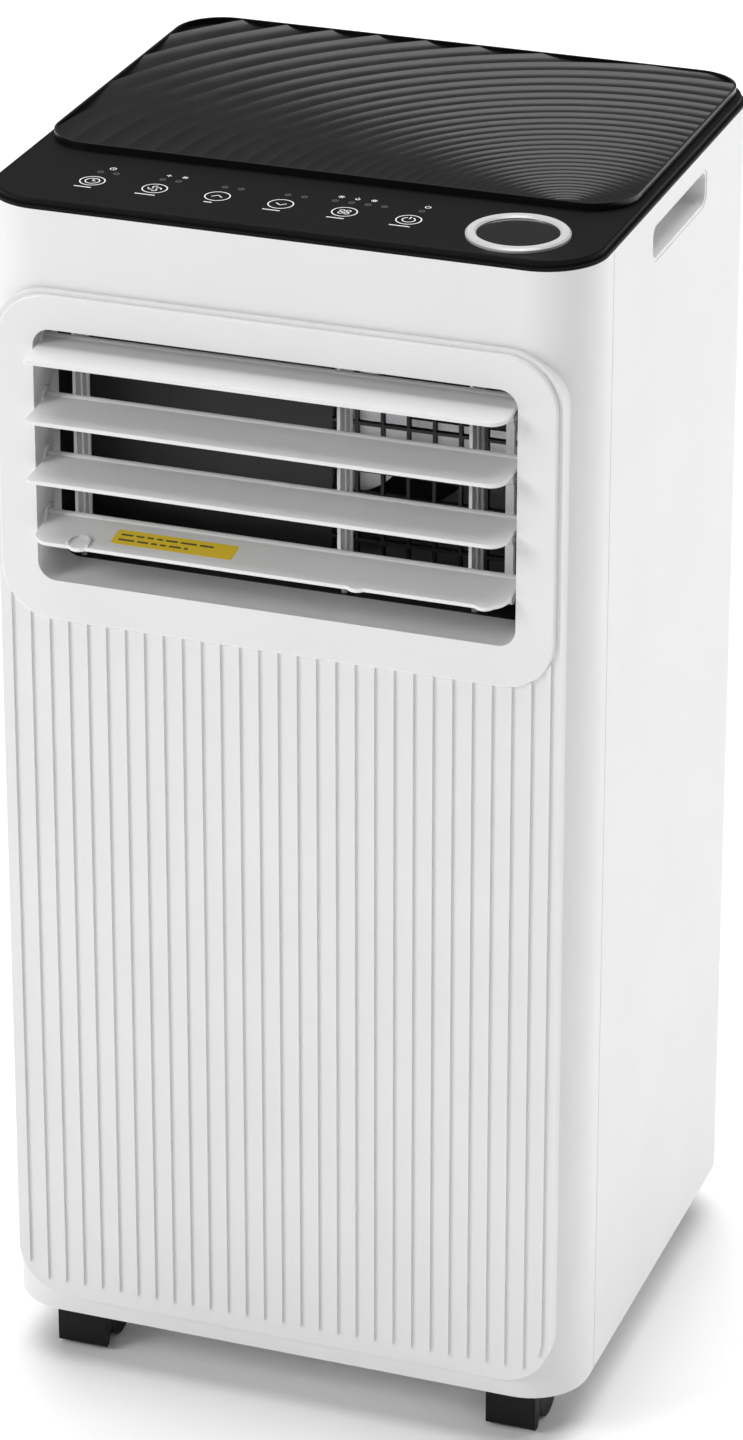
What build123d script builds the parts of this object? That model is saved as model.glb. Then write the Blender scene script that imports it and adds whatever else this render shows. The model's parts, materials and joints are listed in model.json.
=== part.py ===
from build123d import *
from math import cos, radians, sin
import os

# Portable air conditioner, millimetres.
# +X is the right side seen from the front, +Y the back, +Z up.
# The origin is on the floor, in the middle of the plan.

# ---------------------------------------------------------------- driving sizes
width = 300.0
depth = 276.0
corner_r = 30.0
body_low = 30.0
body_high = 620.0
wall = 2.5
front_y = -depth / 2
back_y = depth / 2
half_w = width / 2
body_h = body_high - body_low
body_mid = (body_high + body_low) / 2
seam_y = front_y + 38.0
reach = 21.0  # how far the louvers and the rear collar stand out of the cabinet

# raised field and ribs on the front
field_proud = 2.5
field_w = 280.0
field_low = 40.0
field_high = 582.0
field_r = 27.0
field_y = front_y - field_proud
field_root = 12.0
rib_count = 29
rib_pitch = 9.65
rib_w = 2.6
rib_proud = 1.4
rib_low = 49.0
rib_margin = 4.0

# air outlet: frame, sleeve, louvers
bezel_w = 276.0
bezel_h = 165.0
bezel_z = 497.4
bezel_r = 26.0
bezel_t = 2.5
bezel_y = field_y - bezel_t
mouth_w = 238.0
mouth_h = 127.4
mouth_z = 499.5
mouth_r = 9.0
sleeve_wall = 2.5
sleeve_depth = 30.0
slip = 0.2

louver_count = 4
louver_pitch = 30.0
louver_top = 554.2
louver_span = 234.6
louver_chord = 29.8
louver_t = 2.0
roll_r = 2.0
pin_r = 2.0
pin_hole_r = 2.15
pivot_y = front_y + 9.0
louver_droop = 4.4
low_chord = 26.4
low_droop = 9.7
crank_r = 14.0
crank_angle = 65.0
crank_x = 105.6
crank_t = 1.6
link_gap = 0.3
link_w = 4.0
link_t = 3.0
link_pin_r = 1.5
link_hole_r = 1.75

# duct, vanes and guard behind the mouth
duct_front = bezel_y + 22.0
duct_back = front_y + 68.0
duct_wall = 2.5
duct_w = mouth_w + 2 * sleeve_wall + 2 * slip
duct_h = mouth_h + 2 * sleeve_wall + 2 * slip
vane_xs = (-112.0, 21.0, 86.0)
vane_y = front_y + 34.5
vane_depth = 15.0
vane_t = 1.6
vane_low = 438.3
vane_high = 560.7
vane_pin_r = 1.5
vane_hole_r = 1.75
vane_arm = 14.0
guard_t = 3.0
guard_pitch_x = 13.0
guard_pitch_z = 12.0
guard_bar = 1.6

# top
cover_t = 5.0
cover_lip = 1.5
cover_inset = 1.5
cover_top = body_high + cover_t
wave_inset = 4.5
wave_front = front_y + 69.5
wave_t = 1.7
ridge_h = 2.2
ring_x = 106.8
ring_y = front_y + 30.0
ring_outer = 24.2
ring_inner = 19.2

# side handles
handle_y = front_y + 143.0
handle_z = 600.8
handle_w = 89.0
handle_h = 20.0
handle_r = 7.0
handle_deep = 24.0

# casters
wheel_r = 13.0
wheel_w = 9.0
hood_r = 15.6
hood_gap = 0.9
hood_low = 9.0
web_w = 6.0
nose = 13.0
nose_low = 2.0
trail = 9.0
caster_x = 114.5
caster_y = 110.0
stem_r = 4.0
socket_r = 4.3

# rear
intake_w = 204.0
intake_low = 443.3
intake_high = 586.0
lower_grille_w = 190.0
lower_grille_low = 62.0
lower_grille_high = 226.0
lower_grille_x = 30.0
exhaust_x = 52.0
exhaust_z = 316.0
exhaust_r = 65.0
collar_wall = 3.0
plug_r = 8.0
plug_x = -110.0
plug_high_z = 410.0
plug_low_z = 52.0
gland_z = 90.0
gland_r = 7.0
cord_hole_r = 3.6
hook_x = -105.0
hook_w = 26.0
hook_high_z = 270.0
hook_low_z = 180.0
screw_x = 126.0
screw_zs = (110.0, 380.0, 598.0)
hinge_drop = 2.7
hinge_up = 4.0

os.makedirs("parts", exist_ok=True)


def save(piece, label):
    piece.part.label = label
    export_step(piece.part, f"parts/{label}.step")


# ---------------------------------------------------------------- cabinet
with BuildPart() as front_shell:
    with BuildSketch(Plane.XY.offset(body_low)):
        RectangleRounded(width, depth, corner_r)
    extrude(amount=body_h)
    with BuildSketch(Plane.XZ.offset(-field_y)):
        with Locations((0, (field_low + field_high) / 2)):
            RectangleRounded(field_w, field_high - field_low, field_r)
    extrude(amount=-(field_proud + field_root))
    with BuildSketch(Plane.XY.offset(body_low)):
        RectangleRounded(width - 2 * wall, depth - 2 * wall, corner_r - wall)
    extrude(amount=body_h, mode=Mode.SUBTRACT)
    with Locations((0, (seam_y + back_y + 1) / 2, body_mid)):
        Box(width + 2, back_y + 1 - seam_y, body_h + 2, mode=Mode.SUBTRACT)
    with BuildSketch(Plane.XZ.offset(-field_y)):
        with Locations((0, (rib_low + mouth_z) / 2)):
            with GridLocations(rib_pitch, 1, rib_count, 1):
                Rectangle(rib_w, mouth_z - rib_low)
        with Locations((0, (field_low + field_high) / 2)):
            RectangleRounded(
                field_w - 2 * rib_margin,
                field_high - field_low - 2 * rib_margin,
                field_r - rib_margin,
                mode=Mode.INTERSECT,
            )
        with Locations((0, bezel_z)):
            RectangleRounded(bezel_w + slip, bezel_h + slip, bezel_r, mode=Mode.SUBTRACT)
    extrude(amount=rib_proud)
    with BuildSketch(Plane.XZ.offset(-field_y + 1)):
        with Locations((0, mouth_z)):
            RectangleRounded(
                mouth_w + 2 * sleeve_wall + slip,
                mouth_h + 2 * sleeve_wall + slip,
                mouth_r + sleeve_wall,
            )
    extrude(amount=-(field_proud + field_root + 4), mode=Mode.SUBTRACT)
save(front_shell, "front_shell")

lip_t = 1.5
lip_reach = 6.0
with BuildPart() as rear_housing:
    with BuildSketch(Plane.XY.offset(body_low)):
        RectangleRounded(width, depth, corner_r)
        RectangleRounded(width - 2 * wall, depth - 2 * wall, corner_r - wall, mode=Mode.SUBTRACT)
    extrude(amount=body_h)
    seam_gap = 0.6
    with Locations((0, (front_y - 1 + seam_y + seam_gap) / 2, body_mid)):
        Box(width + 2, seam_y + seam_gap - front_y + 1, body_h + 2, mode=Mode.SUBTRACT)
    # tongue that closes the seam from inside
    for side in (-1, 1):
        with Locations((side * (half_w - wall - lip_t / 2), seam_y + 1, body_mid + 10)):
            Box(lip_t, 2 * lip_reach, body_h - 60)
    # side handle holes
    for side in (-1, 1):
        with BuildSketch(Plane.YZ.offset(side * (half_w - wall - 1))):
            with Locations((handle_y, handle_z)):
                RectangleRounded(handle_w, handle_h, handle_r)
        extrude(amount=side * (wall + 2), mode=Mode.SUBTRACT)
    # frame round the upper intake, with the hinge holes of its cover
    with BuildSketch(Plane.XZ.offset(-(back_y - wall))):
        with Locations((0, (intake_low + intake_high) / 2)):
            Rectangle(intake_w + 8, intake_high - intake_low + 8)
    extrude(amount=12)
    with BuildSketch(Plane.XZ.offset(-(back_y + 1))):
        with Locations((0, (intake_low + intake_high) / 2)):
            Rectangle(intake_w, intake_high - intake_low)
    extrude(amount=20, mode=Mode.SUBTRACT)
    with Locations((0, back_y - hinge_drop, intake_low + hinge_up)):
        Cylinder(1.7, intake_w + 5, rotation=(0, 90, 0), mode=Mode.SUBTRACT)
    # lower intake, exhaust, drains and cord inlet
    with BuildSketch(Plane.XZ.offset(-(back_y + 1))):
        with Locations((lower_grille_x, (lower_grille_low + lower_grille_high) / 2)):
            RectangleRounded(lower_grille_w, lower_grille_high - lower_grille_low, 6)
        with Locations((exhaust_x, exhaust_z)):
            Circle(exhaust_r)
        with Locations((plug_x, plug_high_z), (plug_x, plug_low_z)):
            Circle(plug_r)
        with Locations((plug_x, gland_z)):
            Circle(gland_r)
    extrude(amount=wall + 2, mode=Mode.SUBTRACT)
save(rear_housing, "rear_housing")

pan_t = 3.0
pan_rim = 24.0
with BuildPart() as base_pan:
    with BuildSketch(Plane.XY.offset(body_low)):
        RectangleRounded(width - 2 * wall, depth - 2 * wall, corner_r - wall)
    extrude(amount=pan_rim)
    with BuildSketch(Plane.XY.offset(body_low + pan_t)):
        RectangleRounded(width - 4 * wall, depth - 4 * wall, corner_r - 2 * wall)
    extrude(amount=pan_rim, mode=Mode.SUBTRACT)
    with Locations((0, 0, body_low + 10)):
        with GridLocations(2 * caster_x, 2 * caster_y, 2, 2):
            Cylinder(9, 20)
            Cylinder(socket_r, 22, mode=Mode.SUBTRACT)
    # clearance for the drain plug and the cord
    with Locations((plug_x, back_y, plug_low_z)):
        Cylinder(plug_r + 1, 20, rotation=(90, 0, 0), mode=Mode.SUBTRACT)
save(base_pan, "base_pan")

with BuildPart() as partition:
    with BuildSketch(Plane.XY.offset(388)):
        with Locations((0, (seam_y + back_y) / 2 + 6)):
            RectangleRounded(width - 2 * wall - 2 * lip_t, back_y - seam_y - 32, 24)
        with Locations((-124, 90)):
            Circle(9, mode=Mode.SUBTRACT)
    extrude(amount=3)
save(partition, "partition")

# ---------------------------------------------------------------- top
with BuildPart() as top_cover:
    with BuildSketch(Plane.XY.offset(body_high)):
        RectangleRounded(width, depth, corner_r)
    extrude(amount=cover_lip)
    with BuildSketch(Plane.XY.offset(body_high + cover_lip)):
        RectangleRounded(width - 2 * cover_inset, depth - 2 * cover_inset, corner_r - cover_inset)
    extrude(amount=cover_t - cover_lip)
    fillet(top_cover.faces().sort_by(Axis.Z)[-1].edges(), 1.2)
    with Locations((ring_x, ring_y, cover_top)):
        Cylinder(ring_outer, 3, mode=Mode.SUBTRACT)
save(top_cover, "top_cover")

wave_back = back_y - wave_inset
wave_mid = (wave_front + wave_back) / 2
wave_w = width - 2 * wave_inset
wave_d = wave_back - wave_front
wave_r = 24.0
ridge_first = 7.0
ridge_step_first = 3.2
ridge_grow = 1.05
ridge_rise = 0.34
ridge_reach = 340.0
ridge_centre = (118.0, wave_front - 4.0)
rim_w = 1.6
with BuildPart() as wave_panel:
    with BuildSketch(Plane(origin=(*ridge_centre, cover_top), x_dir=(1, 0, 0), z_dir=(0, -1, 0))):
        with BuildLine():
            points = [(0, 0), (0, wave_t)]
            ridge_at = ridge_first
            ridge_step = ridge_step_first
            while ridge_at < ridge_reach:
                # each ridge climbs outward in a hollow curve, then drops
                for along, up in ((0, 0), (0.3, 0.06), (0.5, 0.2), (0.68, 0.45), (0.84, 0.78), (0.94, 1.0)):
                    climb = up * min(ridge_h, ridge_rise * ridge_step)
                    points.append((ridge_at + along * ridge_step, wave_t + climb))
                ridge_at += ridge_step
                ridge_step *= ridge_grow
            points.append((ridge_at, wave_t))
            points.append((ridge_at, 0))
            Polyline(*points, close=True)
        make_face()
    revolve(axis=Axis((*ridge_centre, 0), (0, 0, 1)), revolution_arc=360)
    with BuildSketch(Plane.XY.offset(cover_top)):
        with Locations((0, wave_mid)):
            RectangleRounded(wave_w, wave_d, wave_r)
    extrude(amount=wave_t + ridge_h, mode=Mode.INTERSECT)
    with BuildSketch(Plane.XY.offset(cover_top)):
        with Locations((0, wave_mid)):
            RectangleRounded(wave_w, wave_d, wave_r)
            RectangleRounded(
                wave_w - 2 * rim_w, wave_d - 2 * rim_w, wave_r - rim_w, mode=Mode.SUBTRACT
            )
    extrude(amount=wave_t + ridge_h)
save(wave_panel, "wave_panel")

with BuildPart() as display_ring:
    with Locations((ring_x, ring_y, cover_top - 1.5)):
        Cylinder(ring_outer, 3.6, align=(Align.CENTER, Align.CENTER, Align.MIN))
        Cylinder(ring_inner, 3.6, align=(Align.CENTER, Align.CENTER, Align.MIN), mode=Mode.SUBTRACT)
    chamfer(display_ring.faces().sort_by(Axis.Z)[-1].edges(), 0.9)
save(display_ring, "display_ring")

with BuildPart() as display_window:
    with Locations((ring_x, ring_y, cover_top - 1.5)):
        Cylinder(ring_inner, 2.4, align=(Align.CENTER, Align.CENTER, Align.MIN))
save(display_window, "display_window")

# ---------------------------------------------------------------- side handles
for side, name in ((-1, "left"), (1, "right")):
    with BuildPart() as handle_cup:
        with BuildSketch(Plane.YZ.offset(side * (half_w - 0.4))):
            with Locations((handle_y, handle_z)):
                RectangleRounded(handle_w, handle_h, handle_r)
        extrude(amount=-side * handle_deep)
        with BuildSketch(Plane.YZ.offset(side * (half_w + 1))):
            with Locations((handle_y, handle_z)):
                RectangleRounded(handle_w - 4, handle_h - 4, handle_r - 2)
        extrude(amount=-side * (handle_deep - 1), mode=Mode.SUBTRACT)
    save(handle_cup, f"handle_cup_{name}")

# ---------------------------------------------------------------- air outlet
tab_r = 5.6
tab_back = 4.0  # from the blade's edge to the tab's centre
tab_xs = [x - mouth_w / 2 for x in (25.0, 164.0, 226.0)]
louver_zs = [louver_top - louver_pitch * i for i in range(louver_count)]
link_x0 = crank_x + crank_t + link_gap
crank_dy = crank_r * cos(radians(crank_angle))
crank_dz = -crank_r * sin(radians(crank_angle))

with BuildPart() as outlet_bezel:
    with BuildSketch(Plane.XZ.offset(-bezel_y)):
        with Locations((0, bezel_z)):
            RectangleRounded(bezel_w, bezel_h, bezel_r)
    extrude(amount=-bezel_t)
    fillet(outlet_bezel.faces().sort_by(Axis.Y)[0].edges(), 1.2)
    with BuildSketch(Plane.XZ.offset(-bezel_y - 0.5)):
        with Locations((0, mouth_z)):
            RectangleRounded(
                mouth_w + 2 * sleeve_wall, mouth_h + 2 * sleeve_wall, mouth_r + sleeve_wall
            )
    extrude(amount=-(sleeve_depth - 0.5))
    with BuildSketch(Plane.XZ.offset(-bezel_y + 1)):
        with Locations((0, mouth_z)):
            RectangleRounded(mouth_w, mouth_h, mouth_r)
    extrude(amount=-(sleeve_depth + 2), mode=Mode.SUBTRACT)
    ear_t = mouth_w / 2 - louver_span / 2 - 0.5
    for z in louver_zs:
        for side in (-1, 1):
            with Locations((side * (mouth_w / 2 - ear_t / 2), pivot_y, z)):
                Cylinder(4.5, ear_t, rotation=(0, 90, 0))
        with Locations((0, pivot_y, z)):
            Cylinder(pin_hole_r, width, rotation=(0, 90, 0), mode=Mode.SUBTRACT)
save(outlet_bezel, "outlet_bezel")

for i, z in enumerate(louver_zs):
    lowest = i == louver_count - 1
    droop = low_droop if lowest else louver_droop
    chord = low_chord if lowest else louver_chord
    left_corner, right_corner = (8.0, 10.0) if lowest else (1.5, 8.0)
    blade_plane = Plane(
        origin=(0, pivot_y, z),
        x_dir=(1, 0, 0),
        z_dir=(0, -sin(radians(droop)), cos(radians(droop))),
    )
    with BuildPart() as louver:
        with BuildSketch(blade_plane.offset(-louver_t / 2)) as outline:
            with Locations((0, -chord / 2)):
                Rectangle(louver_span, chord)
            front_corners = outline.vertices().group_by(Axis.Y)[0].sort_by(Axis.X)
            fillet(front_corners[0], left_corner)
            fillet(outline.vertices().group_by(Axis.Y)[0].sort_by(Axis.X)[-1], right_corner)
        extrude(amount=louver_t)
        if lowest:
            # thumb tabs on the front edge of the lowest blade
            with BuildSketch(blade_plane.offset(-louver_t / 2)):
                with Locations(*[(x, -chord + tab_back) for x in tab_xs]):
                    Circle(tab_r)
            extrude(amount=louver_t)
        with Locations((0, pivot_y, z)):
            Cylinder(roll_r, louver_span, rotation=(0, 90, 0))
            Cylinder(pin_r, louver_span + 2 * (sleeve_wall + ear_t), rotation=(0, 90, 0))
        # crank that the link bar turns
        with BuildSketch(Plane.YZ.offset(crank_x)):
            with Locations((pivot_y + crank_dy / 2, z + crank_dz / 2)):
                SlotCenterToCenter(crank_r, 2 * roll_r, rotation=-crank_angle)
        extrude(amount=crank_t)
        with Locations((crank_x + crank_t, pivot_y + crank_dy, z + crank_dz)):
            Cylinder(
                link_pin_r,
                link_gap + link_w + 0.4,
                rotation=(0, 90, 0),
                align=(Align.CENTER, Align.CENTER, Align.MIN),
            )
    save(louver, f"louver_{i + 1}")

link_zs = [z + crank_dz for z in louver_zs]
link_end = 3.0
with BuildPart() as louver_link:
    with BuildSketch(Plane.YZ.offset(link_x0)):
        with Locations((pivot_y + crank_dy, (link_zs[0] + link_zs[-1]) / 2)):
            Rectangle(link_t, link_zs[0] - link_zs[-1])
        with Locations(*[(pivot_y + crank_dy, z) for z in link_zs]):
            Circle(link_end)
            Circle(link_hole_r, mode=Mode.SUBTRACT)
    extrude(amount=link_w)
save(louver_link, "louver_link")

with BuildPart() as outlet_duct:
    with BuildSketch(Plane.XZ.offset(-duct_front)):
        with Locations((0, mouth_z)):
            RectangleRounded(duct_w + 2 * duct_wall, duct_h + 2 * duct_wall, mouth_r + 5)
            RectangleRounded(duct_w, duct_h, mouth_r + 2.5, mode=Mode.SUBTRACT)
    extrude(amount=-(duct_back - duct_front))
    for x in vane_xs:
        with Locations((x, vane_y, mouth_z)):
            Cylinder(vane_hole_r, duct_h + 20, mode=Mode.SUBTRACT)
save(outlet_duct, "outlet_duct")

for i, x in enumerate(vane_xs):
    with BuildPart() as vane:
        with Locations((x, vane_y, (vane_low + vane_high) / 2)):
            Box(vane_t, vane_depth, vane_high - vane_low)
        with Locations((x, vane_y + vane_depth / 2, (vane_low + vane_high) / 2)):
            Cylinder(1.7, vane_high - vane_low)
        with Locations((x, vane_y, mouth_z)):
            Cylinder(vane_pin_r, duct_h + 2 * duct_wall - 0.6)
        with BuildSketch(Plane.XY.offset(vane_low)):
            with Locations((x, vane_y + vane_arm / 2)):
                SlotCenterToCenter(vane_arm, 4, rotation=90)
        extrude(amount=1.6)
        with Locations((x, vane_y + vane_arm, vane_low)):
            Cylinder(1.3, 5.4, align=(Align.CENTER, Align.CENTER, Align.MIN))
    save(vane, f"vane_{i + 1}")

with BuildPart() as vane_link:
    with BuildSketch(Plane.XY.offset(vane_low + 1.9)):
        with Locations(((vane_xs[0] + vane_xs[-1]) / 2, vane_y + vane_arm)):
            Rectangle(vane_xs[-1] - vane_xs[0], 4)
        with Locations(*[(x, vane_y + vane_arm) for x in vane_xs]):
            Circle(2.8)
            Circle(1.6, mode=Mode.SUBTRACT)
    extrude(amount=2.4)
save(vane_link, "vane_link")

guard_cols = 9
guard_rows = 11
guard_x = mouth_w / 2 - guard_cols * guard_pitch_x / 2
with BuildPart() as finger_guard:
    with BuildSketch(Plane.XZ.offset(-duct_back)):
        with Locations((0, mouth_z)):
            RectangleRounded(duct_w + 2 * duct_wall, duct_h + 2 * duct_wall, mouth_r + 5)
        with Locations((guard_x, mouth_z)):
            with GridLocations(guard_pitch_x, guard_pitch_z, guard_cols, guard_rows):
                Rectangle(guard_pitch_x - guard_bar, guard_pitch_z - guard_bar, mode=Mode.SUBTRACT)
    extrude(amount=-guard_t)
save(finger_guard, "finger_guard")


# ---------------------------------------------------------------- blowers
def fan_wheel(x, z, y0, radius, length, bore):
    """Squirrel-cage wheel with its axis along Y, back plate at y0."""
    with BuildPart() as wheel:
        with BuildSketch(Plane.XZ.offset(-y0)):
            with Locations((x, z)):
                Circle(radius)
        extrude(amount=-2)
        with BuildSketch(Plane.XZ.offset(-y0 - length + 2)):
            with Locations((x, z)):
                Circle(radius)
                Circle(radius - 14, mode=Mode.SUBTRACT)
        extrude(amount=-2)
        with BuildSketch(Plane.XZ.offset(-y0 - 1)):
            with Locations((x, z)):
                with PolarLocations(radius - 7.5, 32):
                    Rectangle(12, 1.6, rotation=35)
        extrude(amount=-(length - 2))
        with BuildSketch(Plane.XZ.offset(-y0)):
            with Locations((x, z)):
                Circle(10)
        extrude(amount=-16)
        with BuildSketch(Plane.XZ.offset(-y0 + 1)):
            with Locations((x, z)):
                Circle(bore)
        extrude(amount=-20, mode=Mode.SUBTRACT)
    return wheel


shaft_r = 4.0
bore_r = 4.3
evap_z = 493.5
scroll_r = 92.0
scroll_wall = 3.0
scroll_y0 = -12.0
scroll_y1 = 70.0
guard_back = duct_back + guard_t

with BuildPart() as evap_scroll:
    with BuildSketch(Plane.XZ.offset(-scroll_y0)):
        with Locations((0, evap_z)):
            Circle(scroll_r)
    extrude(amount=-(scroll_y1 - scroll_y0))
    with BuildSketch(Plane.XZ.offset(-guard_back)):
        with Locations((0, mouth_z)):
            RectangleRounded(duct_w + 2 * duct_wall, duct_h + 2 * duct_wall, mouth_r + 5)
    extrude(amount=-(scroll_y0 + scroll_wall - guard_back))
    with BuildSketch(Plane.XZ.offset(-guard_back + 1)):
        with Locations((0, mouth_z)):
            RectangleRounded(duct_w, duct_h, mouth_r + 2.5)
    extrude(amount=-(scroll_y0 - guard_back + 1), mode=Mode.SUBTRACT)
    with BuildSketch(Plane.XZ.offset(-scroll_y0)):
        with Locations((0, mouth_z)):
            Circle(66)
    extrude(amount=-(scroll_wall + 1), mode=Mode.SUBTRACT)
    with BuildSketch(Plane.XZ.offset(-scroll_y0 - scroll_wall)):
        with Locations((0, evap_z)):
            Circle(scroll_r - scroll_wall)
    extrude(amount=-(scroll_y1 - scroll_y0 - 2 * scroll_wall), mode=Mode.SUBTRACT)
    with Locations((0, scroll_y1, evap_z)):
        Cylinder(62, 20, rotation=(90, 0, 0), mode=Mode.SUBTRACT)
save(evap_scroll, "evap_scroll")

evap_wheel = fan_wheel(0, evap_z, 4, 75, 54, bore_r)
save(evap_wheel, "evap_wheel")

with BuildPart() as evap_motor:
    with Locations((0, -26, evap_z)):
        Cylinder(34, 44, rotation=(90, 0, 0))
    with Locations((0, 0, evap_z)):
        Cylinder(shaft_r, 50, rotation=(90, 0, 0))
    with Locations((0, -46, evap_z)):
        Box(duct_w, 3, 16)
save(evap_motor, "evap_motor")

with BuildPart() as evaporator_coil:
    with Locations((0, 96, evap_z)):
        Box(196, 22, 150)
    with GridLocations(196, 1, 2, 1):
        with Locations((0, 96, evap_z)):
            Box(3, 26, 156)
save(evaporator_coil, "evaporator_coil")

cond_x = 52.0
cond_z = 158.0
cond_y0 = -22.0
cond_y1 = 62.0
with BuildPart() as cond_scroll:
    with BuildSketch(Plane.XZ.offset(-cond_y0)):
        with Locations((cond_x, cond_z)):
            Circle(80)
        with Locations((cond_x, cond_z + 50)):
            Rectangle(96, 100)
    extrude(amount=-(cond_y1 - cond_y0))
    with BuildSketch(Plane.XZ.offset(-cond_y0 - scroll_wall)):
        with Locations((cond_x, cond_z)):
            Circle(80 - scroll_wall)
        with Locations((cond_x, cond_z + 52)):
            Rectangle(96 - 2 * scroll_wall, 100)
    extrude(amount=-(cond_y1 - cond_y0 - 2 * scroll_wall), mode=Mode.SUBTRACT)
    with Locations((cond_x, cond_y1, cond_z)):
        Cylinder(54, 20, rotation=(90, 0, 0), mode=Mode.SUBTRACT)
    with Locations((cond_x, cond_y0, cond_z)):
        Cylinder(20, 20, rotation=(90, 0, 0), mode=Mode.SUBTRACT)
save(cond_scroll, "cond_scroll")

cond_wheel = fan_wheel(cond_x, cond_z, -10, 64, 58, bore_r)
save(cond_wheel, "cond_wheel")

with BuildPart() as cond_motor:
    with Locations((cond_x, -50, cond_z)):
        Cylinder(34, 50, rotation=(90, 0, 0))
    with Locations((cond_x, -40, cond_z)):
        Cylinder(shaft_r, 88, rotation=(90, 0, 0))
    with Locations((cond_x, cond_y0 - 1.5, cond_z)):
        Box(120, 3, 18)
        Cylinder(8, 8, rotation=(90, 0, 0), mode=Mode.SUBTRACT)
        Cylinder(8, 3, rotation=(90, 0, 0))
save(cond_motor, "cond_motor")

with BuildPart() as condenser_coil:
    with Locations((lower_grille_x, 92, 146)):
        Box(184, 24, 176)
    with GridLocations(184, 1, 2, 1):
        with Locations((lower_grille_x, 92, 146)):
            Box(3, 28, 184)
save(condenser_coil, "condenser_coil")

exhaust_top = 386.0
exhaust_low = cond_z + 100.0
exhaust_deep = back_y - wall
duct_side = 134.0
with BuildPart() as exhaust_duct:
    with Locations((exhaust_x, (cond_y0 + exhaust_deep) / 2, (exhaust_low + exhaust_top) / 2)):
        Box(duct_side, exhaust_deep - cond_y0, exhaust_top - exhaust_low)
        Box(
            duct_side - 2 * scroll_wall,
            exhaust_deep - cond_y0 - 2 * scroll_wall,
            exhaust_top - exhaust_low - 2 * scroll_wall,
            mode=Mode.SUBTRACT,
        )
    with Locations((exhaust_x, exhaust_deep, exhaust_z)):
        Cylinder(exhaust_r - collar_wall, 20, rotation=(90, 0, 0), mode=Mode.SUBTRACT)
    with Locations((cond_x, (cond_y0 + cond_y1) / 2, exhaust_low)):
        Box(90, cond_y1 - cond_y0 - 2 * scroll_wall, 10, mode=Mode.SUBTRACT)
save(exhaust_duct, "exhaust_duct")

# ---------------------------------------------------------------- refrigeration
comp_x = -88.0
comp_y = 14.0
comp_top = 236.0
with BuildPart() as compressor:
    with Locations((comp_x, comp_y, 60)):
        Cylinder(50, 176, align=(Align.CENTER, Align.CENTER, Align.MIN))
    fillet(compressor.faces().sort_by(Axis.Z)[-1].edges(), 24)
    fillet(compressor.faces().sort_by(Axis.Z)[0].edges(), 14)
    with BuildSketch(Plane.XY.offset(56)):
        with Locations((comp_x, comp_y)):
            RegularPolygon(62, 3)
    extrude(amount=4)
save(compressor, "compressor")

with BuildPart() as compressor_feet:
    with Locations((comp_x, comp_y, body_low + pan_t)):
        with PolarLocations(48, 3):
            Cylinder(8, 56 - body_low - pan_t, align=(Align.CENTER, Align.CENTER, Align.MIN))
save(compressor_feet, "compressor_feet")

pipe_r = 4.0
with BuildPart() as refrigerant_pipes:
    with BuildLine():
        riser = FilletPolyline(
            (comp_x - 10, comp_y, comp_top), (comp_x - 10, comp_y, 262), (-124, 90, 262),
            (-124, 90, 470), (-99.5, 90, 470), radius=9,
        )
    with BuildSketch(Plane(origin=(comp_x - 10, comp_y, comp_top), z_dir=(0, 0, 1))):
        Circle(pipe_r)
    sweep(path=riser)
    with BuildLine():
        drop = FilletPolyline(
            (comp_x + 20, comp_y, comp_top), (comp_x + 20, comp_y, 256), (comp_x + 20, 92, 256),
            (comp_x + 20, 92, 210), radius=9,
        )
    with BuildSketch(Plane(origin=(comp_x + 20, comp_y, comp_top), z_dir=(0, 0, 1))):
        Circle(pipe_r)
    sweep(path=drop)
save(refrigerant_pipes, "refrigerant_pipes")

with BuildPart() as capacitor:
    with Locations((-52, -94, 33)):
        Cylinder(18, 84, align=(Align.CENTER, Align.CENTER, Align.MIN))
    fillet(capacitor.faces().sort_by(Axis.Z)[-1].edges(), 3)
save(capacitor, "capacitor")

# ---------------------------------------------------------------- electronics
box_z = 592.0
with BuildPart() as control_box:
    with Locations((-76, 30, box_z)):
        Box(86, 120, 22, align=(Align.CENTER, Align.CENTER, Align.MIN))
        with Locations((0, 0, 2)):
            Box(82, 116, 22, align=(Align.CENTER, Align.CENTER, Align.MIN), mode=Mode.SUBTRACT)
save(control_box, "control_box")

with BuildPart() as control_pcb:
    with Locations((-76, 30, box_z + 2)):
        Box(78, 112, 1.6, align=(Align.CENTER, Align.CENTER, Align.MIN))
    with Locations((-90, 10, box_z + 3.6), (-60, 50, box_z + 3.6)):
        Box(24, 30, 14, align=(Align.CENTER, Align.CENTER, Align.MIN))
save(control_pcb, "control_pcb")

with BuildPart() as display_pcb:
    with Locations((0, ring_y + 2, body_high - 4)):
        Box(264, 40, 4, align=(Align.CENTER, Align.CENTER, Align.MIN))
save(display_pcb, "display_pcb")

# ---------------------------------------------------------------- rear
cover_edge = 1.0
hinge_y = back_y - hinge_drop
hinge_z = intake_low + hinge_up
cover_low = intake_low + 1.7
with BuildPart() as intake_cover:
    with BuildSketch(Plane.XZ.offset(-back_y)):
        with Locations((0, (cover_low + intake_high - cover_edge) / 2)):
            Rectangle(intake_w - 2 * cover_edge, intake_high - cover_edge - cover_low)
        with Locations((0, (cover_low + intake_high) / 2 + 3)):
            with GridLocations(60, 9, 3, 13):
                SlotOverall(54, 5, mode=Mode.SUBTRACT)
    extrude(amount=4)
    for side in (-1, 1):
        with Locations((side * (intake_w / 2 - cover_edge), hinge_y, hinge_z)):
            Cylinder(1.4, 6, rotation=(0, 90, 0))
save(intake_cover, "intake_cover")

with BuildPart() as air_filter:
    with Locations((0, back_y - 5.5, (intake_low + intake_high) / 2 + 4)):
        Box(intake_w - 14, 3, intake_high - intake_low - 20)
save(air_filter, "air_filter")

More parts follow.
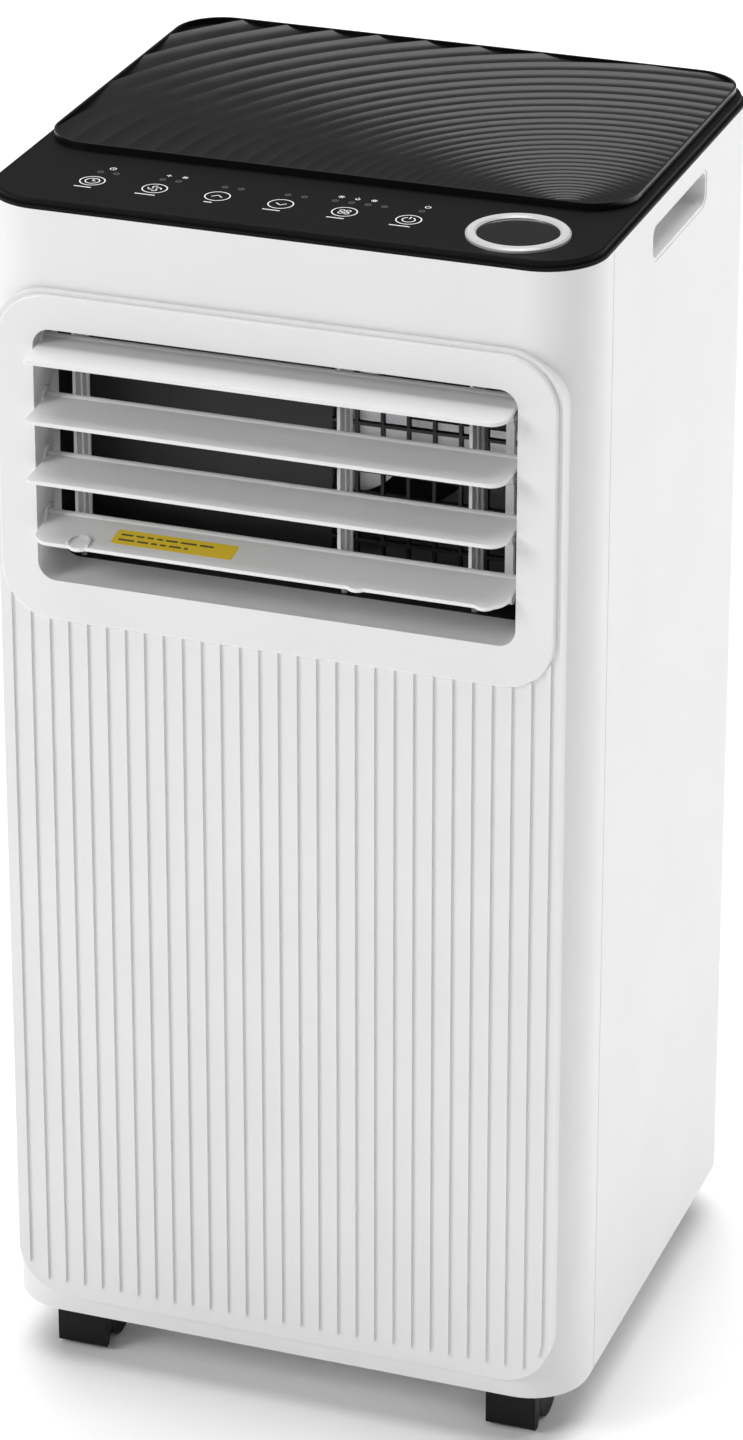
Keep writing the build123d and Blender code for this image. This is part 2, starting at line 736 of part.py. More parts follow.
with BuildPart() as lower_grille:
    with BuildSketch(Plane.XZ.offset(-back_y)):
        with Locations((lower_grille_x, (lower_grille_low + lower_grille_high) / 2)):
            RectangleRounded(lower_grille_w, lower_grille_high - lower_grille_low, 6)
            with GridLocations(60, 10, 3, 15):
                SlotOverall(54, 5.5, mode=Mode.SUBTRACT)
    extrude(amount=wall)
save(lower_grille, "lower_grille")

with BuildPart() as exhaust_collar:
    with BuildSketch(Plane.XZ.offset(-(back_y - wall))):
        with Locations((exhaust_x, exhaust_z)):
            Circle(exhaust_r)
    extrude(amount=-(wall + reach))
    with BuildSketch(Plane.XZ.offset(-back_y)):
        with Locations((exhaust_x, exhaust_z)):
            Circle(exhaust_r + 6)
    extrude(amount=-2.5)
    with BuildSketch(Plane.XZ.offset(-(back_y - wall - 1))):
        with Locations((exhaust_x, exhaust_z)):
            Circle(exhaust_r - collar_wall)
    extrude(amount=-(wall + reach + 2), mode=Mode.SUBTRACT)
save(exhaust_collar, "exhaust_collar")

guard_r = exhaust_r - collar_wall
with BuildPart() as exhaust_guard:
    with BuildSketch(Plane.XZ.offset(-(back_y - 2 * wall))):
        with Locations((exhaust_x, exhaust_z)):
            for ring_r in (46, 30, 14):
                Circle(ring_r)
                Circle(ring_r - 2.4, mode=Mode.SUBTRACT)
            for turn in (0, 60, 120):
                Rectangle(2 * guard_r, 2.4, rotation=turn)
            Circle(guard_r, mode=Mode.INTERSECT)
    extrude(amount=-wall)
save(exhaust_guard, "exhaust_guard")

for z, name in ((plug_high_z, "upper"), (plug_low_z, "lower")):
    with BuildPart() as drain_plug:
        with BuildSketch(Plane.XZ.offset(-(back_y - wall))):
            with Locations((plug_x, z)):
                Circle(plug_r - 0.3)
        extrude(amount=-wall)
        with BuildSketch(Plane.XZ.offset(-back_y - 0.2)):
            with Locations((plug_x, z)):
                Circle(plug_r + 3)
        extrude(amount=-3)
        with BuildSketch(Plane.XZ.offset(-back_y)):
            with Locations((plug_x, z)):
                Circle(plug_r - 0.3)
        extrude(amount=-0.4)
        with Locations((plug_x, back_y + 5, z)):
            Box(3, 6, 12)
    save(drain_plug, f"drain_plug_{name}")

with BuildPart() as cord_gland:
    with BuildSketch(Plane.XZ.offset(-(back_y - wall))):
        with Locations((plug_x, gland_z)):
            Circle(gland_r)
    extrude(amount=-(wall + 5))
    with BuildSketch(Plane.XZ.offset(-back_y)):
        with Locations((plug_x, gland_z)):
            Circle(gland_r + 2.5)
    extrude(amount=-2)
    with Locations((plug_x, back_y, gland_z)):
        Cylinder(cord_hole_r, 30, rotation=(90, 0, 0), mode=Mode.SUBTRACT)
save(cord_gland, "cord_gland")

with BuildPart() as cord_hooks:
    for z, turn in ((hook_high_z, 1), (hook_low_z, -1)):
        with Locations((hook_x, back_y + reach / 2, z)):
            Box(hook_w, reach, 5)
        with Locations((hook_x, back_y + reach - 2, z + turn * 9)):
            Box(hook_w, 4, 18)
    fillet(cord_hooks.edges().filter_by(Axis.X).group_by(Axis.Y)[-1], 1.5)
save(cord_hooks, "cord_hooks")

with BuildPart() as rear_screws:
    with BuildSketch(Plane.XZ.offset(-back_y)):
        with Locations(*[(x, z) for x in (-screw_x, screw_x) for z in screw_zs]):
            Circle(4)
    extrude(amount=-1.6)
save(rear_screws, "rear_screws")

# ---------------------------------------------------------------- casters
axle_z = wheel_r
stem_top = body_low + 12
for n, (sx, sy) in enumerate(((-1, -1), (1, -1), (-1, 1), (1, 1)), 1):
    cx = sx * caster_x
    cy = sy * caster_y
    hood_w = web_w + 2 * wheel_w + 2 * hood_gap
    with BuildPart() as caster_yoke:
        with BuildSketch(Plane.YZ.offset(cx - hood_w / 2)):
            with Locations((cy + trail, axle_z)):
                Circle(hood_r)
            with Locations((cy + trail / 2, axle_z + hood_r / 2)):
                Rectangle(trail + 4, hood_r)
        extrude(amount=hood_w)
        with Locations((cx, cy, hood_low - hood_r)):
            Box(60, 80, hood_r, align=(Align.CENTER, Align.CENTER, Align.MIN), mode=Mode.SUBTRACT)
        # flat nose in front of the wheels, down to just above the floor
        with BuildSketch(Plane.YZ.offset(cx - hood_w / 2)):
            with BuildLine():
                Polyline(
                    (cy - nose, axle_z + hood_r),
                    (cy - nose, nose_low + 1),
                    (cy - nose + 1, nose_low),
                    (cy - nose + 4.5, nose_low),
                    (cy - trail + 3, hood_low),
                    (cy, axle_z + hood_r),
                    close=True,
                )
            make_face()
        extrude(amount=hood_w)
        for side in (-1, 1):
            with BuildSketch(Plane.YZ.offset(cx + side * web_w / 2)):
                with Locations((cy + trail, axle_z)):
                    Circle(wheel_r + hood_gap)
            extrude(amount=side * (wheel_w + 3 * hood_gap), mode=Mode.SUBTRACT)
        with Locations((cx, cy + trail, axle_z)):
            Cylinder(2.8, 60, rotation=(0, 90, 0), mode=Mode.SUBTRACT)
        with Locations((cx, cy, 26)):
            Cylinder(stem_r, stem_top - 26, align=(Align.CENTER, Align.CENTER, Align.MIN))
    save(caster_yoke, f"caster_{n}_yoke")
    with BuildPart() as caster_wheels:
        for side in (-1, 1):
            with BuildSketch(Plane.YZ.offset(cx + side * (web_w / 2 + hood_gap))):
                with Locations((cy + trail, axle_z)):
                    Circle(wheel_r)
            extrude(amount=side * wheel_w)
        with Locations((cx, cy + trail, axle_z)):
            Cylinder(2.4, web_w + 4, rotation=(0, 90, 0))
    save(caster_wheels, f"caster_{n}_wheels")
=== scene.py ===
import json
from math import cos, hypot, pi, radians, sin

import bmesh
import bpy
from mathutils import Matrix, Vector


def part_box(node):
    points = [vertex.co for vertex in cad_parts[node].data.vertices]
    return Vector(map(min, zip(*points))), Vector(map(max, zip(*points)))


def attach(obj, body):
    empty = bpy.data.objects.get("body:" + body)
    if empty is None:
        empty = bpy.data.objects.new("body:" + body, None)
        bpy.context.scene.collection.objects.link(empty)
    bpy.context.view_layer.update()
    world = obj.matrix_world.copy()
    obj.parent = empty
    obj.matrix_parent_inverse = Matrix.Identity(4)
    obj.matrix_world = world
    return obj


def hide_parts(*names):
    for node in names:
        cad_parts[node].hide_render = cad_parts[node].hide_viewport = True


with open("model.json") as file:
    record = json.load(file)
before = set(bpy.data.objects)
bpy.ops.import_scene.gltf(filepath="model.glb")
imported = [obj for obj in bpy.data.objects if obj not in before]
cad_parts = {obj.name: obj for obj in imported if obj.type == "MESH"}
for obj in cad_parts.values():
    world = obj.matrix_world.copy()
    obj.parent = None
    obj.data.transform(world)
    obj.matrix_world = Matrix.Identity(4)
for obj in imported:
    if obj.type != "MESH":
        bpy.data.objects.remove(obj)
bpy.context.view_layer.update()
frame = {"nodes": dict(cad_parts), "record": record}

nodes = frame["nodes"]
MM = 0.001


# ------------------------------------------------------------------ camera
AZIMUTH = radians(19.68)      # to the right of the front
ELEVATION = radians(23.17)
CAMERA_PLACE = (0.8237, -2.3099, 1.483)
LENS = 136.0
SENSOR = 36.0
SHIFT_Y = -0.15
FAR_CLIP = 20.0


def set_camera():
    """A long lens to the right of the front, above the top cover."""
    back = Vector((
        sin(AZIMUTH) * cos(ELEVATION), -cos(AZIMUTH) * cos(ELEVATION), sin(ELEVATION)))
    right = Vector((cos(AZIMUTH), sin(AZIMUTH), 0))
    up = back.cross(right)
    turn = Matrix((right, up, back)).transposed().to_4x4()
    data = bpy.data.cameras.new("camera")
    data.sensor_fit = "VERTICAL"
    data.sensor_height = SENSOR
    data.lens = LENS
    data.shift_y = SHIFT_Y
    data.clip_end = FAR_CLIP
    camera = bpy.data.objects.new("camera", data)
    bpy.context.collection.objects.link(camera)
    camera.matrix_world = Matrix.Translation(CAMERA_PLACE) @ turn
    bpy.context.scene.camera = camera


# ------------------------------------------------------------------ materials
COAT_ROUGH = 0.12
DRIFT_SCALE = 14      # noise scales, in cells a metre
SMEAR_SCALE = 60
GRAIN_DEPTH = 0.0002
FIN_SCALE = 220
FIN_DEPTH = 0.001


def moulded(name, colour, rough, grain=0.05, grain_size=2200, spread=0.015, coat=0.0,
            metallic=0.0, specular=0.5):
    """A moulded or painted surface: faint colour drift, uneven gloss and a fine grain."""
    material = bpy.data.materials.new(name)
    material.use_nodes = True
    tree = material.node_tree
    shader = tree.nodes["Principled BSDF"]
    shader.inputs["Metallic"].default_value = metallic
    shader.inputs["Coat Weight"].default_value = coat
    shader.inputs["Coat Roughness"].default_value = COAT_ROUGH
    shader.inputs["Specular IOR Level"].default_value = specular
    place = tree.nodes.new("ShaderNodeTexCoord")

    def noise(scale, detail):
        node = tree.nodes.new("ShaderNodeTexNoise")
        node.inputs["Scale"].default_value = scale
        node.inputs["Detail"].default_value = detail
        tree.links.new(place.outputs["Object"], node.inputs["Vector"])
        return node

    drift = noise(DRIFT_SCALE, 3)
    tint = tree.nodes.new("ShaderNodeValToRGB")
    for stop, factor in zip(tint.color_ramp.elements, (1 - spread, 1 + spread)):
        stop.color = (*[min(c * factor, 1.0) for c in colour], 1)
    tint.color_ramp.elements[0].position = 0.3
    tint.color_ramp.elements[1].position = 0.7
    tree.links.new(drift.outputs["Fac"], tint.inputs["Fac"])
    tree.links.new(tint.outputs["Color"], shader.inputs["Base Color"])

    smear = noise(SMEAR_SCALE, 4)
    gloss = tree.nodes.new("ShaderNodeMapRange")
    gloss.inputs["To Min"].default_value = max(rough - 0.05, 0.02)
    gloss.inputs["To Max"].default_value = min(rough + 0.06, 1.0)
    tree.links.new(smear.outputs["Fac"], gloss.inputs["Value"])
    tree.links.new(gloss.outputs["Result"], shader.inputs["Roughness"])

    grit = noise(grain_size, 2)
    bump = tree.nodes.new("ShaderNodeBump")
    bump.inputs["Strength"].default_value = grain
    bump.inputs["Distance"].default_value = GRAIN_DEPTH
    tree.links.new(grit.outputs["Fac"], bump.inputs["Height"])
    tree.links.new(bump.outputs["Normal"], shader.inputs["Normal"])
    return material


def finned(name, colour):
    """Thin metal fins packed side by side along X."""
    material = moulded(name, colour, 0.35, metallic=0.9)
    tree = material.node_tree
    shader = tree.nodes["Principled BSDF"]
    place = tree.nodes["Texture Coordinate"]
    fins = tree.nodes.new("ShaderNodeTexWave")
    fins.inputs["Scale"].default_value = FIN_SCALE
    tree.links.new(place.outputs["Object"], fins.inputs["Vector"])
    bump = tree.nodes.new("ShaderNodeBump")
    bump.inputs["Strength"].default_value = 0.8
    bump.inputs["Distance"].default_value = FIN_DEPTH
    tree.links.new(fins.outputs["Fac"], bump.inputs["Height"])
    tree.links.new(bump.outputs["Normal"], shader.inputs["Normal"])
    return material


SOFTENED = {       # width of each node's rounded edges, in millimetres
    "front_shell": 0.4, "outlet_bezel": 0.5, "louver_1": 0.4, "louver_2": 0.4, "louver_3": 0.4,
    "louver_4": 0.4, "caster_1_yoke": 0.8, "caster_2_yoke": 0.8, "caster_3_yoke": 0.8,
    "caster_4_yoke": 0.8, "top_cover": 0.3, "exhaust_collar": 0.5, "cord_hooks": 0.8,
}
EDGE_CUTS = 2
EDGE_ANGLE = radians(28)


def make_materials():
    return {
        "white_shell": moulded("white_shell", (0.755, 0.755, 0.757), 0.42, grain=0.12),
        "white_vent": moulded("white_vent", (0.755, 0.755, 0.755), 0.38, grain=0.08),
        "black_satin": moulded("black_satin", (0.007, 0.007, 0.0075), 0.5, grain=0.2, spread=0.1,
                               specular=0.06),
        "black_gloss": moulded("black_gloss", (0.005, 0.005, 0.0055), 0.24, spread=0.1,
                               specular=0.28),
        "silver_trim": moulded("silver_trim", (0.72, 0.72, 0.73), 0.25, metallic=0.35),
        "black_glass": moulded("black_glass", (0.004, 0.004, 0.005), 0.12, coat=0.15, grain=0.01,
                               specular=0.2),
        "black_duct": moulded("black_duct", (0.016, 0.016, 0.017), 0.5, grain=0.25, spread=0.1),
        "inner_foam": moulded("inner_foam", (0.20, 0.21, 0.22), 0.7, grain=0.5, spread=0.06),
        "fan_plastic": moulded("fan_plastic", (0.05, 0.05, 0.055), 0.5, grain=0.3, spread=0.1),
        "zinc_steel": moulded("zinc_steel", (0.6, 0.6, 0.62), 0.35, metallic=0.9, spread=0.05),
        "coil_fins": finned("coil_fins", (0.65, 0.67, 0.7)),
        "black_paint": moulded("black_paint", (0.02, 0.02, 0.02), 0.35, grain=0.4, spread=0.1),
        "black_rubber": moulded("black_rubber", (0.03, 0.03, 0.03), 0.75, grain=0.5, spread=0.1),
        "copper": moulded("copper", (0.72, 0.36, 0.2), 0.3, metallic=1.0, spread=0.08),
        "aluminium_can": moulded("aluminium_can", (0.7, 0.7, 0.71), 0.3, metallic=1.0),
        "circuit_board": moulded("circuit_board", (0.03, 0.16, 0.06), 0.4, spread=0.15),
        "filter_mesh": moulded("filter_mesh", (0.10, 0.11, 0.12), 0.8, grain=1.0, grain_size=900,
                               spread=0.3),
        "caster_plastic": moulded("caster_plastic", (0.007, 0.007, 0.0075), 0.42, spread=0.1,
                                  specular=0.15),
        "caster_wheel": moulded("caster_wheel", (0.010, 0.010, 0.011), 0.5, grain=0.3, spread=0.1,
                                specular=0.2),
        "ink": moulded("ink", (0.80, 0.80, 0.80), 0.5, grain=0.02),
        "lamp_rim": moulded("lamp_rim", (0.10, 0.10, 0.105), 0.35, grain=0.02),
        "lens_dark": moulded("lens_dark", (0.008, 0.008, 0.009), 0.15, coat=0.6),
        "label_yellow": moulded("label_yellow", (0.86, 0.62, 0.04), 0.38, grain=0.03, spread=0.03),
        "label_ink": moulded("label_ink", (0.10, 0.085, 0.03), 0.6, grain=0.02),
    }


def dress_nodes(materials):
    """Each CAD node gets its slot's material."""
    slots = {part["node"]: part["material_slot"] for part in frame["record"]["subparts"]}
    for name, obj in nodes.items():
        mesh = obj.data
        mesh.materials.clear()
        mesh.materials.append(materials[slots[name]])


def soften(name, width):
    """Rounded edges on a CAD node, by a modifier."""
    bevel = nodes[name].modifiers.new("edge", "BEVEL")
    bevel.width = width * MM
    bevel.segments = EDGE_CUTS
    bevel.limit_method = "ANGLE"
    bevel.angle_limit = EDGE_ANGLE


# ------------------------------------------------------------------ mesh helpers
def add_piece(name, mesh, material, body):
    mesh.materials.append(material)
    piece = bpy.data.objects.new(name, mesh)
    bpy.context.collection.objects.link(piece)
    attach(piece, body)
    return piece


class Print:
    """Flat marks raised a hair above a plane: u and v are in millimetres on the plane."""

    def __init__(self, origin, u_axis, v_axis, lift=0.06):
        self.origin = Vector(origin)
        self.u = Vector(u_axis).normalized()
        self.v = Vector(v_axis).normalized()
        self.normal = self.u.cross(self.v)
        self.lift = lift
        self.bm = bmesh.new()

    def at(self, u, v, height):
        return self.origin + MM * (self.u * u + self.v * v + self.normal * height)

    def band(self, inner, outer, closed):
        """A strip between two rows of (u, v) points, with its sides."""
        count = len(inner)
        rows = [
            [self.bm.verts.new(self.at(*p, h)) for p in row]
            for row, h in ((inner, self.lift), (outer, self.lift), (outer, 0), (inner, 0))
        ]
        last = count if closed else count - 1
        for i in range(last):
            j = (i + 1) % count
            for a in range(4):
                b = (a + 1) % 4
                self.bm.faces.new((rows[a][i], rows[a][j], rows[b][j], rows[b][i]))
        if not closed:
            self.bm.faces.new([row[0] for row in rows])
            self.bm.faces.new([row[-1] for row in reversed(rows)])

    def arc(self, u, v, radius, width, start=0.0, end=360.0, steps=40):
        closed = end - start >= 360
        count = steps if closed else steps + 1
        turns = [radians(start + (end - start) * i / steps) for i in range(count)]
        inner, outer = [
            [(u + r * cos(t), v + r * sin(t)) for t in turns]
            for r in (radius - width / 2, radius + width / 2)
        ]
        self.band(inner, outer, closed)

    def stroke(self, u0, v0, u1, v1, width):
        length = hypot(u1 - u0, v1 - v0)
        across = ((v0 - v1) / length * width / 2, (u1 - u0) / length * width / 2)
        inner = [(u0 + across[0], v0 + across[1]), (u1 + across[0], v1 + across[1])]
        outer = [(u0 - across[0], v0 - across[1]), (u1 - across[0], v1 - across[1])]
        self.band(inner, outer, False)

    def disc(self, u, v, radius, steps):
        turns = [2 * pi * i / steps for i in range(steps)]
        ring = [(u + radius * cos(t), v + radius * sin(t)) for t in turns]
        low, top = [
            [self.bm.verts.new(self.at(*p, h)) for p in ring] for h in (0, self.lift)
        ]
        self.bm.faces.new(top)
        self.bm.faces.new(list(reversed(low)))
        for i in range(steps):
            j = (i + 1) % steps
            self.bm.faces.new((low[i], low[j], top[j], top[i]))

    def mesh(self, name):
        bmesh.ops.recalc_face_normals(self.bm, faces=self.bm.faces)
        mesh = bpy.data.meshes.new(name)
        self.bm.to_mesh(mesh)
        self.bm.free()
        return mesh


# ------------------------------------------------------------------ touch strip
# Millimetres. Everything called BACK is measured from the front edge of the top cover.
KEY_XS = [-102.5, -71.3, -40.1, -8.9, 22.3, 53.5]
KEY_BACK = 32.0
KEY_R = 5.9
LINE = 0.55          # line width of the key rings and symbols
FINE_LINE = 0.4      # line widths of the small glyphs
STAR_LINE = 0.45
WORD_BACK = 23.2
WORDS = [8.5, 10.0, 4.0, 8.5, 8.5, 10.0]
WORD_SHIFT = 1.5     # how far a word bar sits to the left of its key
WORD_LINE = 0.8
CLOCK_R = 3.4
FAN_R = 1.7
ARROW_W = 2.6
ARROW_LOW, ARROW_HIGH = 1.0, 1.3
FIELD_STEP = 1.5
POWER_R = 3.0
GLYPH_BACK = 50.5
GLYPH_SHIFT = 3
GLYPH_STEP = 8
LAMP_BACK = 44.5
LAMP_R = 1.35
LAMP_RIM = 0.35
LAMP_STEPS = 24
LENS_R = 1.2
RIM_LIFT, LENS_LIFT = 0.12, 0.08
LAMPS = [(0, -1), (0, 7), (1, -1), (1, 7), (2, -1), (2, 7), (3, -1), (3, 7),
         (4, -9), (4, -1), (4, 7), (4, 15), (5, 2)]      # key, shift along X


def star(marks, u, v, size, arms, width):
    for k in range(arms):
        t = pi * k / arms
        du, dv = size * cos(t), size * sin(t)
        marks.stroke(u - du, v - dv, u + du, v + dv, width)


def key_symbols(marks):
    """Generic symbols: clock, fan, up, down, four fields, power."""
    clock, fan, up, down, fields, power = KEY_XS
    v = KEY_BACK
    marks.arc(clock, v, CLOCK_R, LINE)
    marks.stroke(clock, v, clock, v + 2.4, LINE)
    marks.stroke(clock, v, clock + 1.7, v, LINE)
    for k in range(4):
        t = k * pi / 2
        start = k * 90 - 20
        marks.arc(fan + FAN_R * cos(t), v + FAN_R * sin(t), 1.5, LINE, start, start + 170, 12)
    for arrow, way in ((up, 1), (down, -1)):
        low, high = v - way * ARROW_LOW, v + way * ARROW_HIGH
        marks.stroke(arrow - ARROW_W, low, arrow, high, LINE)
        marks.stroke(arrow, high, arrow + ARROW_W, low, LINE)
    for du in (-FIELD_STEP, FIELD_STEP):
        for dv in (-FIELD_STEP, FIELD_STEP):
            marks.arc(fields + du, v + dv, 1.2, 0.45, steps=8)
    marks.arc(power, v, POWER_R, LINE, 115, 425, 30)
    marks.stroke(power, v + 1.0, power, v + 4.0, LINE)


def small_glyphs(marks):
    """Generic marks behind the lamps: timer, stars, drop, power."""
    clock, fan, _, _, fields, power = KEY_XS
    timer, switch = clock + GLYPH_SHIFT, power + GLYPH_SHIFT
    v = GLYPH_BACK
    marks.arc(timer, v, 1.5, FINE_LINE, steps=20)
    marks.stroke(timer, v, timer, v + 1.1, FINE_LINE)
    star(marks, fan, v, 1.3, 2, STAR_LINE)
    star(marks, fan + GLYPH_STEP, v, 1.5, 3, STAR_LINE)
    star(marks, fields - GLYPH_STEP, v, 1.6, 3, STAR_LINE)
    marks.arc(fields, v - 0.4, 1.0, 0.5, 150, 390, 12)
    marks.stroke(fields, v + 1.6, fields, v + 0.2, FINE_LINE)
    star(marks, fields + GLYPH_STEP, v, 1.5, 4, FINE_LINE)
    marks.arc(switch, v, 1.3, FINE_LINE, 120, 420, 20)
    marks.stroke(switch, v + 0.5, switch, v + 1.8, FINE_LINE)


def touch_strip(materials):
    low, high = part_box("top_cover")
    origin = (0, low[1], high[2])
    marks = Print(origin, (1, 0, 0), (0, 1, 0))
    for x, word in zip(KEY_XS, WORDS):
        marks.arc(x, KEY_BACK, KEY_R, LINE, steps=56)
        left, right = x - word / 2 - WORD_SHIFT, x + word / 2 - WORD_SHIFT
        marks.stroke(left, WORD_BACK, right, WORD_BACK, WORD_LINE)
    key_symbols(marks)
    small_glyphs(marks)
    add_piece("strip_print", marks.mesh("strip_print"), materials["ink"], "cabinet")
    rims = Print(origin, (1, 0, 0), (0, 1, 0), lift=RIM_LIFT)
    lenses = Print(origin, (1, 0, 0), (0, 1, 0), lift=LENS_LIFT)
    for key, shift in LAMPS:
        rims.arc(KEY_XS[key] + shift, LAMP_BACK, LAMP_R, LAMP_RIM, steps=LAMP_STEPS)
        lenses.disc(KEY_XS[key] + shift, LAMP_BACK, LENS_R, steps=LAMP_STEPS)
    add_piece("lamp_rims", rims.mesh("lamp_rims"), materials["lamp_rim"], "cabinet")
    add_piece("lamp_lenses", lenses.mesh("lamp_lenses"), materials["lens_dark"], "cabinet")


# ------------------------------------------------------------------ ridged panel
# Millimetres.
RIDGE_CENTRE = (118.0, -4.0)   # in X from the middle, in Y from the panel's front edge
RIDGE_CORE = 0.5               # radius of the innermost ring
RIDGE_FIRST = 7.0
RIDGE_STEP = 3.2               # width of the first band; each next one is wider
RIDGE_GROW = 1.05
RIDGE_RISE = 0.17              # a band's height over its width
RIDGE_REACH = 335.0
RIDGE_TURNS = 160
BAND_STOPS = (0.0, 0.25, 0.45, 0.62, 0.76, 0.87, 0.95)
BAND_CREST = BAND_STOPS[-1]
BAND_CURVE = 2.6
SMOOTH_ANGLE = radians(30)
PANEL_R = 24.0
RIM_W = 1.2
CREST_DROP = 0.3               # the crests below the rim's top
CORNER_CUTS = 8
RIM_CUTS = 10


def ridge_rings(top):
    """Radius and height of every ring: each band climbs outward in a hollow curve, then drops."""
    rings = [(RIDGE_CORE, top - RIDGE_RISE * RIDGE_STEP)]
    start, step = RIDGE_FIRST, RIDGE_STEP
    while start < RIDGE_REACH:
        rise = RIDGE_RISE * step
        for along in BAND_STOPS:
            climb = (along / BAND_CREST) ** BAND_CURVE
            rings.append((start + along * step, top - rise + rise * climb))
        start += step
        step *= RIDGE_GROW
    return rings


def rounded_loop(low, high, inset, steps):
    """Points round the panel's outline in millimetres, anticlockwise."""
    radius = PANEL_R - inset
    points = []
    for sx, sy, turn in ((1, -1, -90), (1, 1, 0), (-1, 1, 90), (-1, -1, 180)):
        cx = (high[0] if sx > 0 else low[0]) - sx * PANEL_R
        cy = (high[1] if sy > 0 else low[1]) - sy * PANEL_R
        for k in range(steps + 1):
            t = radians(turn + 90 * k / steps)
            points.append((cx + radius * cos(t), cy + radius * sin(t)))
    return points


def ridged_panel(materials):
    """The ridged panel with its full relief, cut from rings round a point by the display."""
    low, high = [[c / MM for c in corner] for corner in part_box("wave_panel")]
    centre = (RIDGE_CENTRE[0], low[1] + RIDGE_CENTRE[1])
    rings = ridge_rings(high[2] - CREST_DROP)
    bm = bmesh.new()
    rows = []
    for radius, z in rings:
        turns = [pi * k / RIDGE_TURNS for k in range(RIDGE_TURNS + 1)]
        rows.append([
            bm.verts.new((centre[0] + radius * cos(t), centre[1] + radius * sin(t), z))
            for t in turns
        ])
    for near, far in zip(rows, rows[1:]):
        for k in range(RIDGE_TURNS):
            bm.faces.new((near[k], far[k], far[k + 1], near[k + 1]))
    outline = rounded_loop(low, high, RIM_W / 2, CORNER_CUTS)
    for here, after in zip(outline, outline[1:] + outline[:1]):
        along = Vector((after[0] - here[0], after[1] - here[1], 0))
        if along.length > 0.01:
            bmesh.ops.bisect_plane(
                bm, geom=bm.verts[:] + bm.edges[:] + bm.faces[:], dist=1e-5,
                plane_co=(*here, 0), plane_no=(along.y, -along.x, 0), clear_outer=True)
    skirt = bmesh.ops.extrude_edge_only(bm, edges=[e for e in bm.edges if e.is_boundary])
    for vert in skirt["geom"]:
        if isinstance(vert, bmesh.types.BMVert):
            vert.co.z = low[2]
    bmesh.ops.edgeloop_fill(bm, edges=[e for e in bm.edges if e.is_boundary])
    bmesh.ops.scale(bm, vec=(MM, MM, MM), verts=bm.verts)
    bmesh.ops.recalc_face_normals(bm, faces=bm.faces)
    mesh = bpy.data.meshes.new("ridged_panel")
    bm.to_mesh(mesh)
    bm.free()
    mesh.shade_smooth()
    mesh.set_sharp_from_angle(angle=SMOOTH_ANGLE)
    panel = add_piece("ridged_panel", mesh, materials["black_gloss"], "cabinet")
    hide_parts("wave_panel")

    rim = Print((0, 0, low[2] * MM), (1, 0, 0), (0, 1, 0), lift=high[2] - low[2])
    inner, outer = [rounded_loop(low, high, inset, RIM_CUTS) for inset in (RIM_W, 0.0)]
    rim.band(inner, outer, True)
    add_piece("ridged_panel_rim", rim.mesh("ridged_panel_rim"), materials["black_gloss"],
              "cabinet")


# ------------------------------------------------------------------ lowest louver
DROOP = radians(9.7)
PIVOT = (0.0, -0.129, 0.4642)  # metres; the rest of these are millimetres
BLADE_HALF_T = 1.0
LABEL_X = (-80, -19)
LABEL_V = (-19.4, -7.4)        # along the blade from the pivot, front edge and back edge
LABEL_R = 1.2
LABEL_T = 0.12
DASH_ROWS = ((-11.3, (6, 4, 3.4, 3, 6, 8, 7)), (-15.6, (8, 5.5, 3, 3, 6, 2)))
DASH_GAP = 1.5
DASH_LINE = 1.4
DASH_T = 0.03
TAB_X = -94.0
TAB_V = -22.4
TAB_R = 5.0
TAB_LINE = 1.1


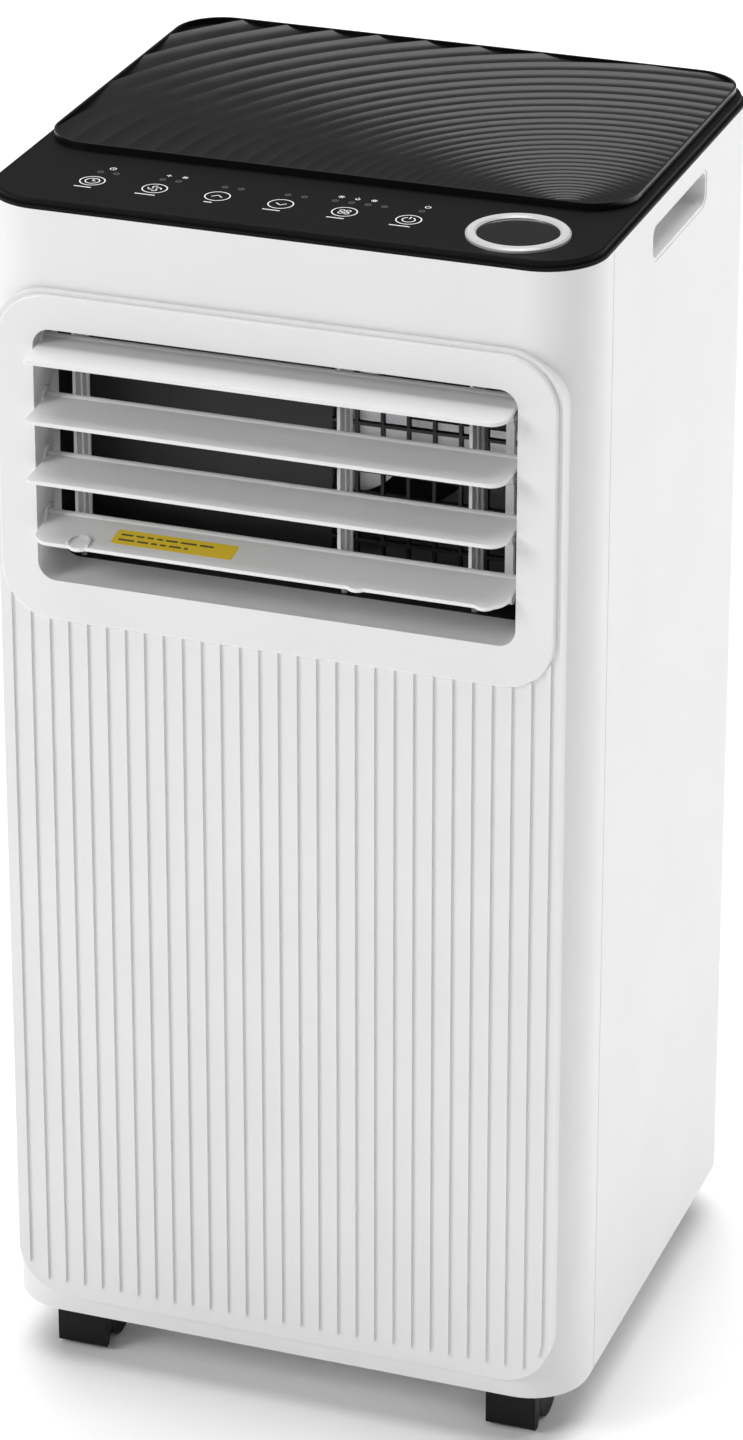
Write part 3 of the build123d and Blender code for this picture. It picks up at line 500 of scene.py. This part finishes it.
def louver_label(materials):
    """On the lowest blade: a plain yellow label with two rows of dashes, and the tab's rim."""
    top = Vector((0, -sin(DROOP), cos(DROOP)))
    origin = Vector(PIVOT) + top * BLADE_HALF_T * MM
    u_axis = (1, 0, 0)
    v_axis = (0, cos(DROOP), sin(DROOP))
    label = Print(origin, u_axis, v_axis, lift=LABEL_T)
    (left, right), (near, far) = LABEL_X, LABEL_V
    us = (left, left + LABEL_R, right - LABEL_R, right)
    row_near = list(zip(us, (near + LABEL_R, near, near, near + LABEL_R)))
    row_far = list(zip(us, (far - LABEL_R, far, far, far - LABEL_R)))
    label.band(row_near, row_far, False)
    add_piece("blade_label", label.mesh("blade_label"), materials["label_yellow"], "louver_4")
    rim = Print(origin, u_axis, v_axis, lift=TAB_LINE)
    rim.arc(TAB_X, TAB_V, TAB_R, TAB_LINE, 0, 180, 24)
    for x in (TAB_X - TAB_R, TAB_X + TAB_R):
        rim.stroke(x, TAB_V + 0.2, x, TAB_V - 3.4, TAB_LINE)
    add_piece("blade_tab_rim", rim.mesh("blade_tab_rim"), materials["white_vent"], "louver_4")
    ink = Print(origin + top * LABEL_T * MM, u_axis, v_axis, lift=DASH_T)
    for v, runs in DASH_ROWS:
        u = left + 3
        for run in runs:
            ink.stroke(u, v, u + run, v, DASH_LINE)
            u += run + DASH_GAP
    add_piece("blade_label_dashes", ink.mesh("blade_label_dashes"), materials["label_ink"],
              "louver_4")


# ------------------------------------------------------------------ set
FLOOR_REACH = 6.0
SKY = 0.22
AIM = (0, 0, 0.35)
SUN = {"place": (-0.05, 0.2, 1.0), "angle": radians(60), "power": 3.25}
PANELS = (           # name, place, size in metres, watts, seen in reflections
    ("key", (-2.6, -2.8, 2.4), 1.6, 72, True),
    ("side", (2.4, 2.1, 1.2), 1.8, 31, False),
)


def add_light(name, kind, place, aim, power):
    data = bpy.data.lights.new(name, kind)
    data.energy = power
    lamp = bpy.data.objects.new(name, data)
    bpy.context.collection.objects.link(lamp)
    lamp.location = place
    towards = Vector(aim) - Vector(place)
    lamp.rotation_euler = towards.to_track_quat("-Z", "Y").to_euler()
    return lamp


def make_set():
    """A pale floor, an even sky, a soft sun overhead and two soft panels."""
    floor_mat = moulded("floor", (0.93, 0.93, 0.93), 0.9, grain=0.02, spread=0.004, specular=0.1)
    mesh = bpy.data.meshes.new("floor")
    corners = [(FLOOR_REACH * x, FLOOR_REACH * y, 0) for x, y in
               ((-1, -1), (1, -1), (1, 1), (-1, 1))]
    mesh.from_pydata(corners, [], [(0, 1, 2, 3)])
    mesh.materials.append(floor_mat)
    floor = bpy.data.objects.new("floor", mesh)
    bpy.context.collection.objects.link(floor)

    world = bpy.data.worlds.new("studio")
    bpy.context.scene.world = world
    world.use_nodes = True
    sky = world.node_tree.nodes["Background"]
    sky.inputs["Color"].default_value = (1, 1, 1, 1)
    sky.inputs["Strength"].default_value = SKY

    sun = add_light("overhead", "SUN", SUN["place"], (0, 0, 0), SUN["power"])
    sun.data.angle = SUN["angle"]
    for name, place, size, power, mirrored in PANELS:
        panel = add_light(name, "AREA", place, AIM, power)
        panel.data.size = size
        panel.visible_glossy = mirrored
    bpy.context.scene.view_settings.view_transform = "Standard"


set_camera()
make_set()
materials = make_materials()
dress_nodes(materials)
for name, width in SOFTENED.items():
    soften(name, width)
ridged_panel(materials)
touch_strip(materials)
louver_label(materials)
